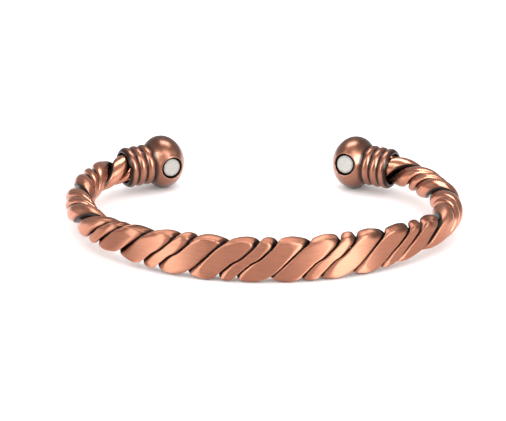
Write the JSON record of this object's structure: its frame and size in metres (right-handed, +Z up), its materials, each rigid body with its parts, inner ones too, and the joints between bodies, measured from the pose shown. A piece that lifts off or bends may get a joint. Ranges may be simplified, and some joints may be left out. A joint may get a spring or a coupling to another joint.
{
  "type": "open cuff bracelet",
  "caption": "Open cuff bracelet of three twisted copper wires, rolled flat at the front, with ribbed ball end caps that each hold a small disc magnet.",
  "frame": {"origin": "middle of the footprint, on the surface that the cuff lies on", "axes": "+Z up, out of the cuff's open side; +X to the right of someone who looks at the flat front; the front of the cuff towards -Y and its gap towards +Y"},
  "size_m": [0.0661, 0.0512, 0.0091],
  "materials": {
    "wire_copper": "brushed satin copper, darkened in the grooves",
    "cap_copper": "antiqued copper, brown patina between the rings and on the back of the ball",
    "magnet": "matt nickel plating"
  },
  "bodies": {
    "root": {"thick_wire_a": "wire_copper", "thick_wire_b": "wire_copper", "thin_wire": "wire_copper", "end_cap_left": "cap_copper", "end_cap_right": "cap_copper", "magnet_left": "magnet", "magnet_right": "magnet"}
  },
  "joints": []
}
